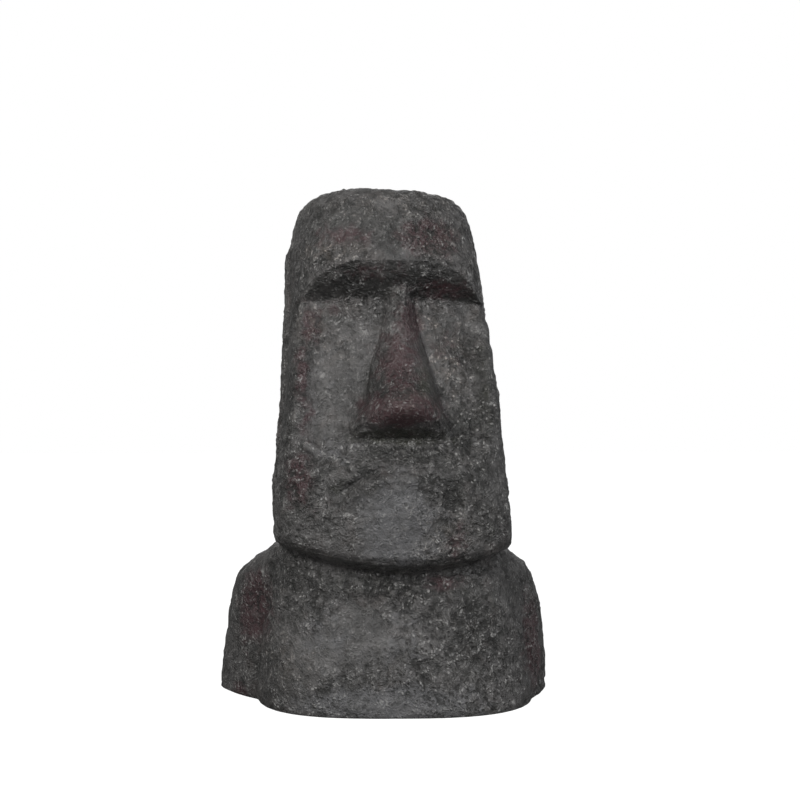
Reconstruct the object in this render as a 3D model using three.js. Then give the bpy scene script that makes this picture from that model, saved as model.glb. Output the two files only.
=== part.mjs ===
import * as THREE from "three";

// Moai head-and-shoulders statue, cast in one piece.
// Millimetres, +Z up, the face looks along -Y, +X is the viewer's right.
// "Forward" below is distance towards the viewer, so y = -forward.

// ---- driving sizes -------------------------------------------------------

// Levels of the body, from the ground up. For each: name, rows up to the next
// level, height at the middle of the front, height round the sides and back,
// half width, forward place of the widest line, forward reach of the front,
// reach of the back, squareness of the front and of the back. In the head the
// sizes belong to the middle height, because its rows bend with the features.
const LEVELS = [
  ["rim", 1, 0, 0, 164, -5, 116.5, 121, 2.75, 3.0],
  ["foot", 2, 8, 8, 165.5, -5, 118.5, 122, 2.75, 3.0],
  ["chest low", 3, 50, 52, 161, -5, 111, 121, 2.7, 3.0],
  ["chest high", 3, 100, 102, 155, -5, 101, 118, 2.6, 2.9],
  ["throat", 3, 136, 148, 143, 0, 91, 114, 2.7, 2.8],
  ["crease", 3, 153, 177, 133, 10, 85, 111, 2.8, 2.7],
  ["jaw edge", 2, 170, 188, 137.5, 22, 114, 111, 3.9, 2.7],
  ["chin", 2, 182, 198, 139, 25, 120, 112, 4.3, 2.7],
  ["jaw", 4, 214, 217, 138.5, 24, 120, 113, 4.5, 2.7],
  ["lower lip", 2, 264, 241, 134.6, 18, 113.5, 115, 4.4, 2.7],
  ["mouth line", 2, 276, 252, 133, 15, 111, 115.5, 4.4, 2.7],
  ["upper lip", 2, 288, 268, 132, 12, 109, 116, 4.3, 2.7],
  ["under nose", 7, 301, 295, 131, 9, 107, 116.5, 4.2, 2.7],
  ["nose tip", 3, 339, 323, 128, 1, 103, 117.5, 4.1, 2.7],
  ["mid face", 3, 368, 366, 126, -6, 100, 118, 4.0, 2.7],
  ["upper face", 2, 430, 426, 121, -24, 94, 118, 3.5, 2.7],
  ["eye line", 4, 468, 456, 118, -34, 92, 117, 3.1, 2.7],
  ["brow edge", 2, 512, 473, 115.5, -44, 89, 113.5, 2.8, 2.6],
  ["brow top", 2, 526, 499, 114.5, -47, 86, 112, 2.7, 2.6],
  ["forehead", 3, 550, 538, 111.5, -50, 78, 108.5, 2.6, 2.5],
  ["crown low", 3, 576, 570, 103.8, -49, 63, 102.5, 2.6, 2.5],
  ["crown high", 2, 592, 590, 91.8, -45, 43, 91, 2.5, 2.4],
  ["crown top", 2, 599, 599, 66, -38, 16, 76, 2.4, 2.3],
  ["top", 0, 602, 602, 0, -30, -30, 30, 2.0, 2.0],
];
const JAW_LEVEL = 8;

// Degrees the head turns on the shoulders, by height: the face twists a little.
const HEAD_TURN = [[130, 0], [150, 0], [180, 4.5], [290, 4.5], [346, 6], [430, 8.5], [604, 8.5]];
const TOP_SLOPE = 0.1; // the top plane falls to the back as the head leans back
const TOP_SLOPE_HEIGHTS = [545, 598];
const JAW_TILT = 0.035; // one end of the jaw sits a little lower
const JAW_TILT_HEIGHT = 185;
const JAW_TILT_SPREAD = 45;

// Sideways wander of the middle line: [height, shift].
const SIDE_SHIFT = [
  [0, 11.2], [100, 8], [150, 5.6], [177, 4.2], [220, 3.8],
  [330, 3.6], [430, 2.4], [500, 1], [580, -1], [604, -3.2],
];

// Outline of the shoulders and upper-arm stumps: [height, reach from centre].
const SHOULDER_LEFT = [
  [0, 205.5], [20, 204.5], [50, 201], [80, 197.5], [95, 196], [117, 191.5],
  [132, 187.5], [140, 183], [147, 175.5], [155, 165], [162, 153.5], [169, 143], [177, 134],
];
const SHOULDER_RIGHT = [
  [0, 200], [20, 200.5], [50, 199], [80, 196], [95, 194], [117, 189.5],
  [132, 185], [140, 182.5], [147, 179.5], [155, 174], [162, 167.5], [169, 159.5], [177, 149],
];
// Front end of the arm along the side (1 = front corner, -1 = back corner).
const ARM_FRONT = [[0, 0.32], [100, 0.3], [130, 0.36], [160, 0.5], [177, 0.55]];
const ARM_MIDDLE = -0.28;
const ARM_BACK = -0.78;
const ARM_SOFT_HEIGHTS = [110, 165];

// Brow: height of its edge at the middle and how far it falls outwards. The
// middle of the arch stands a little to the left.
const BROW_HEIGHT = 512;
const BROW_SHIFT = 6;
const BROW_FALL = [[0, 0], [40, 0], [68, 8], [88, 20], [100, 33], [108, 44]];
const EYE_HEIGHT = 467;
const EYE_DEPTH = 39;
// Hollow of the face behind the brow plane: [height, depth].
const FACE_HOLLOW = [
  [240, 0], [266, 0], [290, 8], [320, 20], [360, 27], [400, 30], [440, 34],
  [465, EYE_DEPTH], [470, 38], [480, 27], [492, 11], [505, 0],
];
const HOLLOW_FADE = [84, 122];

// Nose: forward reach of its ridge, half width at its foot, cross-section.
const NOSE_RIDGE = [
  [300, 84], [307, 89], [313, 98], [321, 112], [329, 124], [337, 132.5], [345, 136],
  [356, 129], [366, 118], [375, 110], [400, 96], [440, 81], [484, 68], [505, 60],
];
const NOSE_FOOT = [
  [300, 44], [307, 51], [314, 55.5], [323, 57], [333, 52.5], [345, 47], [355, 43.5],
  [366, 42], [385, 37], [403, 32.5], [422, 26.5], [456, 20], [484, 18], [505, 17],
];
// The nose stands off the middle of the face, and fades back to it over this reach.
const NOSE_SHIFT = [[285, 0], [318, 8], [346, 8.5], [372, 7.5], [400, 5], [470, 5], [500, 5], [530, 0]];
const NOSE_SHIFT_REACH = 105;
const NOSE_FILLET = 0.02;
const NOSE_POWER = [[300, 2.6], [325, 2.8], [350, 2.3], [400, 1.9], [484, 1.5]];
const NOSE_ROUND = [[300, 1.6], [325, 1.8], [350, 1.35], [400, 1.15], [484, 1.0]];
const NOSE_TIP_HEIGHT = 350;
const NOSE_WING_REACH = 52;
const NOSE_TIP_SWELL = 3.5;

// Mouth: a down-turned arch with pressed-in corners over a full chin.
const MOUTH_HEIGHT = 276;
const MOUTH_HALF_WIDTH = 60;
const MOUTH_FALL = 25;
const MOUTH_DEPTH = 4.6;
const LOWER_LIP_SWELL = 5;
const UPPER_LIP_SWELL = 2;
const MOUTH_CORNER_DEPTH = 6;
const MUZZLE_SWELL = 9;
const MUZZLE_HEIGHT = 250;

// Ears: long low slabs down the sides, slanting forward as they come down.
const EAR_SWELL = 5;
const EAR_TOP = 540;
const EAR_BOTTOM = 225;
const EAR_FORWARD_AT_TOP = -52;
const EAR_SLANT = 0.2;
const EAR_HALF_WIDTH = 26;

// Columns of the surface: across the front, down each side, across the back.
const FRONT_COLUMNS = 28;
const BACK_COLUMNS = 10;
const SIDE_COLUMNS = [
  1, 0.84, 0.7, 0.57, 0.46, 0.37, 0.28, 0.235, 0.18, 0.1, 0,
  -0.1, -0.22, -0.35, -0.48, -0.59, -0.68, -0.77, -0.88, -1,
];
const NOSE_COLUMN_SHARE = 0.4; // share of the front columns that follow the nose
const FREE_COLUMN_REACH = 42; // where those columns stand away from the nose

// ---- small helpers ---------------------------------------------------------

// Smooth curve through [place, value] pairs that never overshoots them.
function curve(pairs) {
  const last = pairs.length - 1;
  const step = [];
  const rise = [];
  for (let i = 0; i < last; i += 1) {
    step.push(pairs[i + 1][0] - pairs[i][0]);
    rise.push((pairs[i + 1][1] - pairs[i][1]) / step[i]);
  }
  const slope = new Array(last + 1).fill(0);
  slope[0] = rise[0];
  slope[last] = rise[last - 1];
  for (let i = 1; i < last; i += 1) {
    if (rise[i - 1] * rise[i] > 0) {
      const before = 2 * step[i] + step[i - 1];
      const after = step[i] + 2 * step[i - 1];
      slope[i] = (before + after) / (before / rise[i - 1] + after / rise[i]);
    }
  }
  return (place) => {
    const at = THREE.MathUtils.clamp(place, pairs[0][0], pairs[last][0]);
    let i = 0;
    while (i < last - 1 && at >= pairs[i + 1][0]) {
      i += 1;
    }
    const u = (at - pairs[i][0]) / step[i];
    const w = 1 - u;
    const ends = (1 + 2 * u) * w * w * pairs[i][1] + u * u * (3 - 2 * u) * pairs[i + 1][1];
    return ends + (u * w * w * slope[i] - u * u * w * slope[i + 1]) * step[i];
  };
}

// Smooth change from 0 at a to 1 at b.
function ramp(a, b, value) {
  const t = THREE.MathUtils.clamp((value - a) / (b - a), 0, 1);
  return t * t * (3 - 2 * t);
}

// Rounded swelling of height 1 about a centre.
function swell(value, centre, spread) {
  return Math.exp(-(((value - centre) / spread) ** 2));
}

function mix(a, b, share) {
  return a + (b - a) * share;
}

// Sizes run by level up to the jaw and by height above it.
const bustCurve = (size) => curve(LEVELS.slice(0, JAW_LEVEL + 1).map((l, i) => [i, l[size]]));
const headCurve = (size) => curve(LEVELS.slice(JAW_LEVEL).map((l) => [l[2], l[size]]));
const frontHeight = curve(LEVELS.map((level, i) => [i, level[2]]));
const sideHeight = curve(LEVELS.map((level, i) => [i, level[3]]));
const bustSizes = [4, 5, 6, 7, 8, 9].map(bustCurve);
const headSizes = [4, 5, 6, 7, 8, 9].map(headCurve);
const headTurn = curve(HEAD_TURN);
const sideShift = curve(SIDE_SHIFT);
const shoulderLeft = curve(SHOULDER_LEFT);
const shoulderRight = curve(SHOULDER_RIGHT);
const armFront = curve(ARM_FRONT);
const browFall = curve(BROW_FALL);
const faceHollow = curve(FACE_HOLLOW);
const noseRidge = curve(NOSE_RIDGE);
const noseFoot = curve(NOSE_FOOT);
const noseShift = curve(NOSE_SHIFT);
const nosePower = curve(NOSE_POWER);
const noseRound = curve(NOSE_ROUND);

// ---- the face ----------------------------------------------------------------

// Hollow behind the brow; above the eye line it closes up to the arched edge.
function hollowDepth(x, height) {
  const across = Math.abs(x + BROW_SHIFT);
  const edge = BROW_HEIGHT - browFall(across);
  const eye = EYE_HEIGHT - 2 * ramp(60, 110, across);
  const span = Math.max(edge - eye, 3);
  const level = height > eye ? 468 + ((height - eye) * 37) / span : height;
  const fade = 1 - ramp(HOLLOW_FADE[0], HOLLOW_FADE[1], Math.abs(x));
  const close = THREE.MathUtils.clamp((edge - eye) / 44, 0, 1) ** 0.45;
  return faceHollow(level) * fade * mix(1, close, ramp(430, 468, height));
}

function mouthRelief(across, height) {
  const out = Math.min(across, MOUTH_HALF_WIDTH * 1.2) / MOUTH_HALF_WIDTH;
  const above = height - (MOUTH_HEIGHT - MOUTH_FALL * out * out);
  const within = 1 - ramp(46, 72, across);
  const lips = LOWER_LIP_SWELL * swell(above, -9, 8) + UPPER_LIP_SWELL * swell(above, 9, 8);
  const line = MOUTH_DEPTH * swell(above, 0, 5);
  const cornerHeight = MOUTH_HEIGHT - MOUTH_FALL - 2;
  const corner = swell(across, MOUTH_HALF_WIDTH, 13) * swell(height, cornerHeight, 17);
  const muzzle = MUZZLE_SWELL * swell(across, 0, 60) * swell(height, MUZZLE_HEIGHT, 48);
  return muzzle + (lips - line) * within - MOUTH_CORNER_DEPTH * corner;
}

// How far the nose stands out of a face that lies at the given forward reach.
function noseRelief(across, height, forward) {
  const out = Math.min(across / noseFoot(height), 1);
  const wall = (1 - out ** nosePower(height)) ** (1 / noseRound(height));
  const full = (wall ** 3 / (wall * wall + NOSE_FILLET)) * (1 + NOSE_FILLET);
  const stand = Math.max(noseRidge(height) - forward, 0) * ramp(522, 505, height);
  const tip = NOSE_TIP_SWELL * swell(across, 0, 15) * swell(height, NOSE_TIP_HEIGHT, 12);
  return stand * full + tip;
}

function faceForward(x, height, blank) {
  const across = Math.abs(x);
  const plane = blank - hollowDepth(x, height) + mouthRelief(across, height);
  return plane + noseRelief(across, height, plane);
}

// ---- the ring of columns -------------------------------------------------------

// How far out the inner front columns stand: on the foot of the nose beside it.
function noseColumnReach(height) {
  const beside = ramp(262, 301, height) * ramp(560, 512, height);
  return mix(FREE_COLUMN_REACH, noseFoot(height) + 0.5, beside);
}

function ringColumns() {
  const columns = [];
  for (let i = 0; i < FRONT_COLUMNS; i += 1) {
    columns.push({ part: "front", place: 1 - (2 * i) / FRONT_COLUMNS });
  }
  for (const place of SIDE_COLUMNS.slice(0, -1)) {
    columns.push({ part: "left", place });
  }
  for (let i = 0; i < BACK_COLUMNS; i += 1) {
    columns.push({ part: "back", place: -1 + (2 * i) / BACK_COLUMNS });
  }
  for (const place of SIDE_COLUMNS.slice(1).reverse()) {
    columns.push({ part: "right", place });
  }
  return columns;
}

// Sideways and forward share (-1 to 1) of a column on the rounded-square ring.
function ringShares(column, height, width, square, squareBack) {
  const { part, place } = column;
  if (part === "front") {
    const corner = 2 ** (-1 / square);
    const foot = Math.min(noseColumnReach(height) / Math.max(width, 40), 0.42 * corner + 0.05);
    const out = Math.abs(place);
    const inner = Math.min(out / NOSE_COLUMN_SHARE, 1) * foot;
    const outer = ((out - NOSE_COLUMN_SHARE) / (1 - NOSE_COLUMN_SHARE)) * (corner - foot);
    const share = out < NOSE_COLUMN_SHARE ? inner : foot + outer;
    return [Math.sign(place) * share, (1 - share ** square) ** (1 / square)];
  }
  if (part === "back") {
    const reach = (1 + Math.abs(place) ** squareBack) ** (-1 / squareBack);
    return [place * reach, -reach];
  }
  const power = place > 0 ? square : squareBack;
  const reach = (1 + Math.abs(place) ** power) ** (-1 / power);
  return [part === "left" ? -reach : reach, place * reach];
}

// Arm stump: how full it stands at a place along the side.
function armShare(column, height) {
  const ahead = column.place > ARM_MIDDLE;
  const end = ahead ? armFront(height) : ARM_BACK;
  const along = Math.min(Math.abs((column.place - ARM_MIDDLE) / (end - ARM_MIDDLE)), 1);
  const soft = 0.5 * ramp(ARM_SOFT_HEIGHTS[0], ARM_SOFT_HEIGHTS[1], height);
  return (1 - along ** (ahead ? 1.5 : 2)) ** ((ahead ? 1 : 0.6) + soft);
}

// How much of the middle height a row keeps at a distance from the middle line:
// rows follow the chin line, the mouth, the wings of the nose and the brow.
function rowBend(middle, x, share) {
  const across = Math.abs(x);
  const chin = THREE.MathUtils.clamp(1 - (Math.abs(share) / 0.92) ** 1.8, 0, 1);
  const mouth = 1 - Math.min(across / (MOUTH_HALF_WIDTH * 1.2), 1) ** 2;
  const nose = 1 - Math.min(across / NOSE_WING_REACH, 1) ** 2;
  const brow = THREE.MathUtils.clamp(1 - browFall(Math.abs(x + BROW_SHIFT)) / 40, 0, 1);
  const low = mix(chin, mouth, ramp(200, 250, middle));
  const high = mix(nose, brow, ramp(370, 430, middle));
  return mix(low, high, ramp(286, 304, middle));
}

// Point of the surface for one column at one level (levels count from the rim).
function surfacePoint(column, level) {
  const middle = frontHeight(level);
  const around = sideHeight(level);
  const inHead = level > JAW_LEVEL;
  let z = inHead ? around : middle;
  let sizes = [];
  let shares = [];
  let x = 0;
  for (let pass = 0; pass < 3; pass += 1) {
    sizes = inHead ? headSizes.map((size) => size(z)) : bustSizes.map((size) => size(level));
    shares = ringShares(column, z, sizes[0], sizes[4], sizes[5]);
    x = sizes[0] * shares[0];
    const bend = shares[1] > 0 ? rowBend(middle, x, shares[0]) : 0;
    z = mix(around, middle, bend);
  }
  const [width, line, frontReach, backReach] = sizes;
  const ahead = shares[1] > 0;
  const side = Math.sign(shares[0]);
  const reach = ahead ? frontReach - line : backReach + line;
  let forward = line + reach * shares[1];
  z += TOP_SLOPE * (forward + 38) * ramp(TOP_SLOPE_HEIGHTS[0], TOP_SLOPE_HEIGHTS[1], z);

  const flank = column.part === "left" || column.part === "right";
  if (flank && around < 177) {
    const shoulder = side < 0 ? shoulderLeft(around) : shoulderRight(around);
    const past = Math.max(shoulder - side * sideShift(around) - width, 0);
    x += side * past * armShare(column, around);
  }

  const earLine = EAR_FORWARD_AT_TOP + (EAR_TOP - z) * EAR_SLANT;
  const earSpan = ramp(EAR_TOP + 5, EAR_TOP - 10, z) * ramp(EAR_BOTTOM - 35, EAR_BOTTOM + 35, z);
  const earEdge = 1 - ramp(0.75, 1.1, Math.abs(forward - earLine) / EAR_HALF_WIDTH);
  x += side * EAR_SWELL * earSpan * earEdge * ramp(0.85, 0.97, Math.abs(shares[0]));

  if (ahead && middle > 153) {
    const carved = faceForward(x, z, forward);
    forward = mix(forward, carved, ramp(165, 200, z));
    const near = 1 - Math.min(Math.abs(x) / NOSE_SHIFT_REACH, 1) ** 2;
    x += noseShift(z) * near * near;
  }

  z -= JAW_TILT * x * swell(around, JAW_TILT_HEIGHT, JAW_TILT_SPREAD);
  const turn = THREE.MathUtils.degToRad(headTurn(around));
  const turnedX = x * Math.cos(turn) + forward * Math.sin(turn);
  const turnedForward = forward * Math.cos(turn) - x * Math.sin(turn);
  return [turnedX + sideShift(z), -turnedForward, Math.max(z, 0)];
}

// ---- the closed body -----------------------------------------------------------

function levelRows() {
  const rows = [];
  LEVELS.slice(0, -1).forEach((level, i) => {
    for (let k = 0; k < level[1]; k += 1) {
      rows.push(i + k / level[1]);
    }
  });
  return rows;
}

function bodyGeometry() {
  const columns = ringColumns();
  const rows = levelRows();
  const count = columns.length;
  const points = [];
  for (const row of rows) {
    for (const column of columns) {
      points.push(...surfacePoint(column, row));
    }
  }
  const underside = points.length / 3;
  points.push(sideShift(0), 0, 0);
  const top = underside + 1;
  const crown = LEVELS[LEVELS.length - 1];
  points.push(sideShift(crown[2]), -crown[5], crown[2] + TOP_SLOPE * (crown[5] + 38));

  const faces = [];
  for (let i = 0; i < count; i += 1) {
    const next = (i + 1) % count;
    faces.push(underside, i, next);
    for (let r = 0; r < rows.length - 1; r += 1) {
      const a = r * count + i;
      const b = r * count + next;
      const c = a + count;
      const d = b + count;
      // the diagonal runs the same way on both halves of the face
      if (columns[i].part === "front" && columns[i].place <= 0) {
        faces.push(a, c, d);
        faces.push(a, d, b);
      } else {
        faces.push(a, c, b);
        faces.push(b, c, d);
      }
    }
    const last = (rows.length - 1) * count;
    faces.push(last + i, top, last + next);
  }
  const geometry = new THREE.BufferGeometry();
  geometry.setAttribute("position", new THREE.Float32BufferAttribute(points, 3));
  geometry.setIndex(faces);
  // stand it on the ground with the middle of its box over the origin
  geometry.computeBoundingBox();
  const box = geometry.boundingBox;
  const middle = box.getCenter(new THREE.Vector3());
  geometry.translate(-middle.x, -middle.y, -box.min.z);
  geometry.computeVertexNormals();
  return geometry;
}

const stone = new THREE.MeshStandardMaterial({ color: 0x494745, roughness: 0.9, metalness: 0 });

const statue = new THREE.Mesh(bodyGeometry(), stone);
statue.name = "moai_bust";

const group = new THREE.Group();
group.name = "moai_stone_head_statue";
group.add(statue);

export default group;
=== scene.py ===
import math

import bpy
import numpy as np
from bpy.props import (
    FloatProperty,
    FloatVectorProperty,
    IntProperty,
    PointerProperty,
)
from bpy.types import Operator, Panel, PropertyGroup
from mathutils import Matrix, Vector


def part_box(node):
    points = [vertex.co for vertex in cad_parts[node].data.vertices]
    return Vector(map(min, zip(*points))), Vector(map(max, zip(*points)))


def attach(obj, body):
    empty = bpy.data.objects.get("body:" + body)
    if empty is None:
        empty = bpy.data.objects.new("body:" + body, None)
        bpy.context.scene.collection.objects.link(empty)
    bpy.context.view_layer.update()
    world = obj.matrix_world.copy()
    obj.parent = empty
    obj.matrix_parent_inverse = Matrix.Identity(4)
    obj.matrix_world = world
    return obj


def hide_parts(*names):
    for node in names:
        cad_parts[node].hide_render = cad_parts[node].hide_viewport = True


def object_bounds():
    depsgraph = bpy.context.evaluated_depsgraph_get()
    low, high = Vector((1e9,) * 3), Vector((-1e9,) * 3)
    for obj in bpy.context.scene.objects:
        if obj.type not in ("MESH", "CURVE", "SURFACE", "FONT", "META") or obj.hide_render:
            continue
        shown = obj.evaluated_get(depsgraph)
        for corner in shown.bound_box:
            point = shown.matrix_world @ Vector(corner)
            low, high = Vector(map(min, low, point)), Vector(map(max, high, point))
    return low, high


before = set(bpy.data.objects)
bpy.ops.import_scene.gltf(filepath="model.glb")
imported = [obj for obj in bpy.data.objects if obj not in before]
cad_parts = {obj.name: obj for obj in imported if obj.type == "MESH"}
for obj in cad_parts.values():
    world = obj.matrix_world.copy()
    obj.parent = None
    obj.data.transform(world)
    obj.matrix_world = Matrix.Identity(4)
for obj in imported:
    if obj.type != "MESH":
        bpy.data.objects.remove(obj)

bl_info = {
    "name": "Moai stone head statue",
    "version": (1, 0, 0),
    "blender": (4, 5, 0),
    "location": "3D View > Sidebar > Moai",
    "description": "Dresses the moai bust with its stippled stone skin and sets up the studio",
    "category": "Object",
}

CAD_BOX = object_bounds()
BUST_NODE = "moai_bust"
BUST_BODY = "root"
# The bust's design middle line, in metres right of and behind the middle of its box.
MIDDLE_LINE_RIGHT = 0.00244
MIDDLE_LINE_BACK = 0.0078
# What the lights are aimed at, and each light's place, size and colour.
LIGHT_AIM = (0, -0.05, 0.36)
KEY_LIGHT = ((-1.1, -1.8, 1.45), 0.6, (1.0, 0.99, 0.97))
FILL_LIGHT = ((1.5, -1.5, 0.9), 1.2, (0.97, 0.98, 1.0))
BACK_LIGHT = ((0.1, 2.4, 1.2), 2.0, (1.0, 1.0, 1.0))
TOP_LIGHT = ((0.1, 0.1, 2.1), 1.4, (1.0, 1.0, 1.0))

# ---------------------------------------------------------------------------
# The form of the bust, in millimetres. The face looks along -Y, and "forward"
# is distance towards the viewer, so y = -forward.
# ---------------------------------------------------------------------------

# Levels from the ground up: rows up to the next level, height at the middle of
# the front, height round the sides and back, half width, forward place of the
# widest line, forward reach of the front, reach of the back, squareness of the
# front and of the back.
LEVELS = (
    (1, 0, 0, 164, -5, 116.5, 121, 2.75, 3.0),  # rim
    (2, 8, 8, 165.5, -5, 118.5, 122, 2.75, 3.0),  # foot
    (3, 50, 52, 161, -5, 111, 121, 2.7, 3.0),  # chest, low
    (3, 100, 102, 155, -5, 101, 118, 2.6, 2.9),  # chest, high
    (3, 136, 148, 143, 0, 91, 114, 2.7, 2.8),  # throat
    (3, 153, 177, 133, 10, 85, 111, 2.8, 2.7),  # crease under the chin
    (2, 170, 188, 137.5, 22, 114, 111, 3.9, 2.7),  # edge of the jaw
    (2, 182, 198, 139, 25, 120, 112, 4.3, 2.7),  # chin
    (4, 214, 217, 138.5, 24, 120, 113, 4.5, 2.7),  # jaw
    (2, 264, 241, 134.6, 18, 113.5, 115, 4.4, 2.7),  # lower lip
    (2, 276, 252, 133, 15, 111, 115.5, 4.4, 2.7),  # mouth line
    (2, 288, 268, 132, 12, 109, 116, 4.3, 2.7),  # upper lip
    (7, 301, 295, 131, 9, 107, 116.5, 4.2, 2.7),  # under the nose
    (3, 339, 323, 128, 1, 103, 117.5, 4.1, 2.7),  # tip of the nose
    (3, 368, 366, 126, -6, 100, 118, 4.0, 2.7),  # middle of the face
    (2, 430, 426, 121, -24, 94, 118, 3.5, 2.7),  # upper face
    (4, 468, 456, 118, -34, 92, 117, 3.1, 2.7),  # eye line
    (2, 512, 473, 115.5, -44, 89, 113.5, 2.8, 2.6),  # edge of the brow
    (2, 526, 499, 114.5, -47, 86, 112, 2.7, 2.6),  # top of the brow
    (3, 550, 538, 111.5, -50, 78, 108.5, 2.6, 2.5),  # forehead
    (3, 576, 570, 103.8, -49, 63, 102.5, 2.6, 2.5),  # crown, low
    (2, 592, 590, 91.8, -45, 43, 91, 2.5, 2.4),  # crown, high
    (2, 599, 599, 66, -38, 16, 76, 2.4, 2.3),  # crown, top
    (0, 602, 602, 0, -30, -30, 30, 2.0, 2.0),  # top
)
CREASE_HEIGHT = 153
JAW_LEVEL = 8
# degrees the head turns on the shoulders, by height: the face twists a little
HEAD_TURN = (
    (130, 0), (150, 0), (180, 4.5), (290, 4.5), (346, 6), (430, 8.5), (604, 8.5),
)
TOP_SLOPE = 0.1
TOP_SLOPE_HEIGHTS = (545, 598)
JAW_TILT = 0.035
JAW_TILT_HEIGHT = 185
JAW_TILT_SPREAD = 45
SHOULDER_TOP = 177

SIDE_SHIFT = (
    (0, 11.2), (100, 8), (150, 5.6), (177, 4.2), (220, 3.8),
    (330, 3.6), (430, 2.4), (500, 1), (580, -1), (604, -3.2),
)
SHOULDER_LEFT = (
    (0, 205.5), (20, 204.5), (50, 201), (80, 197.5), (95, 196), (117, 191.5), (132, 187.5),
    (140, 183), (147, 175.5), (155, 165), (162, 153.5), (169, 143), (177, 134),
)
SHOULDER_RIGHT = (
    (0, 200), (20, 200.5), (50, 199), (80, 196), (95, 194), (117, 189.5), (132, 185),
    (140, 182.5), (147, 179.5), (155, 174), (162, 167.5), (169, 159.5), (177, 149),
)
ARM_FRONT = ((0, 0.32), (100, 0.3), (130, 0.36), (160, 0.5), (177, 0.55))
ARM_MIDDLE = -0.28
ARM_BACK = -0.78
ARM_SOFT_HEIGHTS = (110, 165)

BROW_HEIGHT = 512
BROW_SHIFT = 6
BROW_FALL = ((0, 0), (40, 0), (68, 8), (88, 20), (100, 33), (108, 44))
EYE_HEIGHT = 467
FACE_HOLLOW = (
    (240, 0), (266, 0), (290, 8), (320, 20), (360, 27), (400, 30), (440, 34),
    (465, 39), (470, 38), (480, 27), (492, 11), (505, 0),
)
HOLLOW_FADE = (84, 122)

NOSE_RIDGE = (
    (300, 84), (307, 89), (313, 98), (321, 112), (329, 124), (337, 132.5), (345, 136),
    (356, 129), (366, 118), (375, 110), (400, 96), (440, 81), (484, 68), (505, 60),
)
NOSE_FOOT = (
    (300, 44), (307, 51), (314, 55.5), (323, 57), (333, 52.5), (345, 47), (355, 43.5),
    (366, 42), (385, 37), (403, 32.5), (422, 26.5), (456, 20), (484, 18), (505, 17),
)
# The nose stands off the middle of the face, and fades back to it over this reach.
NOSE_SHIFT = (
    (285, 0), (318, 8), (346, 8.5), (372, 7.5), (400, 5), (470, 5), (500, 5), (530, 0),
)
NOSE_SHIFT_REACH = 105
NOSE_FILLET = 0.02
NOSE_POWER = ((300, 2.6), (325, 2.8), (350, 2.3), (400, 1.9), (484, 1.5))
NOSE_ROUND = ((300, 1.6), (325, 1.8), (350, 1.35), (400, 1.15), (484, 1.0))
NOSE_TIP_HEIGHT = 350
NOSE_TIP_SWELL = 3.5
NOSE_WING_REACH = 52

MOUTH_HEIGHT = 276
MOUTH_HALF_WIDTH = 60
MOUTH_FALL = 25
MOUTH_DEPTH = 4.6
LOWER_LIP_SWELL = 5
UPPER_LIP_SWELL = 2
MOUTH_CORNER_DEPTH = 6
MUZZLE_SWELL = 9
MUZZLE_HEIGHT = 250

EAR_SWELL = 5
EAR_TOP = 540
EAR_BOTTOM = 225
EAR_FORWARD_AT_TOP = -52
EAR_SLANT = 0.2
EAR_HALF_WIDTH = 26

FRONT_COLUMNS = 28
BACK_COLUMNS = 10
SIDE_COLUMNS = (
    1, 0.84, 0.7, 0.57, 0.46, 0.37, 0.28, 0.235, 0.18, 0.1, 0,
    -0.1, -0.22, -0.35, -0.48, -0.59, -0.68, -0.77, -0.88, -1,
)
NOSE_COLUMN_SHARE = 0.4
FREE_COLUMN_REACH = 42
FRONT, LEFT, BACK, RIGHT = range(4)


def curve(pairs):
    """Smooth curve through (place, value) pairs that never overshoots them."""
    place, value = np.array(pairs, float).T
    step = np.diff(place)
    rise = np.diff(value) / step
    slope = np.zeros(len(place))
    slope[0], slope[-1] = rise[0], rise[-1]
    for i in range(1, len(place) - 1):
        if rise[i - 1] * rise[i] > 0:
            before = 2 * step[i] + step[i - 1]
            after = step[i] + 2 * step[i - 1]
            slope[i] = (before + after) / (before / rise[i - 1] + after / rise[i])

    def at(where):
        where = np.clip(where, place[0], place[-1])
        i = np.clip(np.searchsorted(place, where, side="right") - 1, 0, len(step) - 1)
        u = (where - place[i]) / step[i]
        w = 1 - u
        ends = (1 + 2 * u) * w * w * value[i] + u * u * (3 - 2 * u) * value[i + 1]
        return ends + (u * w * w * slope[i] - u * u * w * slope[i + 1]) * step[i]

    return at


def ramp(a, b, value):
    """Smooth change from 0 at a to 1 at b."""
    t = np.clip((value - a) / (b - a), 0, 1)
    return t * t * (3 - 2 * t)


def swell(value, centre, spread):
    """Rounded swelling of height 1 about a centre."""
    return np.exp(-(((value - centre) / spread) ** 2))


def mix(a, b, share):
    return a + (b - a) * share


front_height = curve([(i, level[1]) for i, level in enumerate(LEVELS)])
side_height = curve([(i, level[2]) for i, level in enumerate(LEVELS)])
bust_sizes = [
    curve([(i, level[k]) for i, level in enumerate(LEVELS[: JAW_LEVEL + 1])])
    for k in range(3, 9)
]
head_sizes = [
    curve([(level[1], level[k]) for level in LEVELS[JAW_LEVEL:]]) for k in range(3, 9)
]
head_turn = curve(HEAD_TURN)
side_shift = curve(SIDE_SHIFT)
shoulder_left = curve(SHOULDER_LEFT)
shoulder_right = curve(SHOULDER_RIGHT)
arm_front = curve(ARM_FRONT)
brow_fall = curve(BROW_FALL)
face_hollow = curve(FACE_HOLLOW)
nose_ridge = curve(NOSE_RIDGE)
nose_foot = curve(NOSE_FOOT)
nose_shift = curve(NOSE_SHIFT)
nose_power = curve(NOSE_POWER)
nose_round = curve(NOSE_ROUND)


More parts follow.
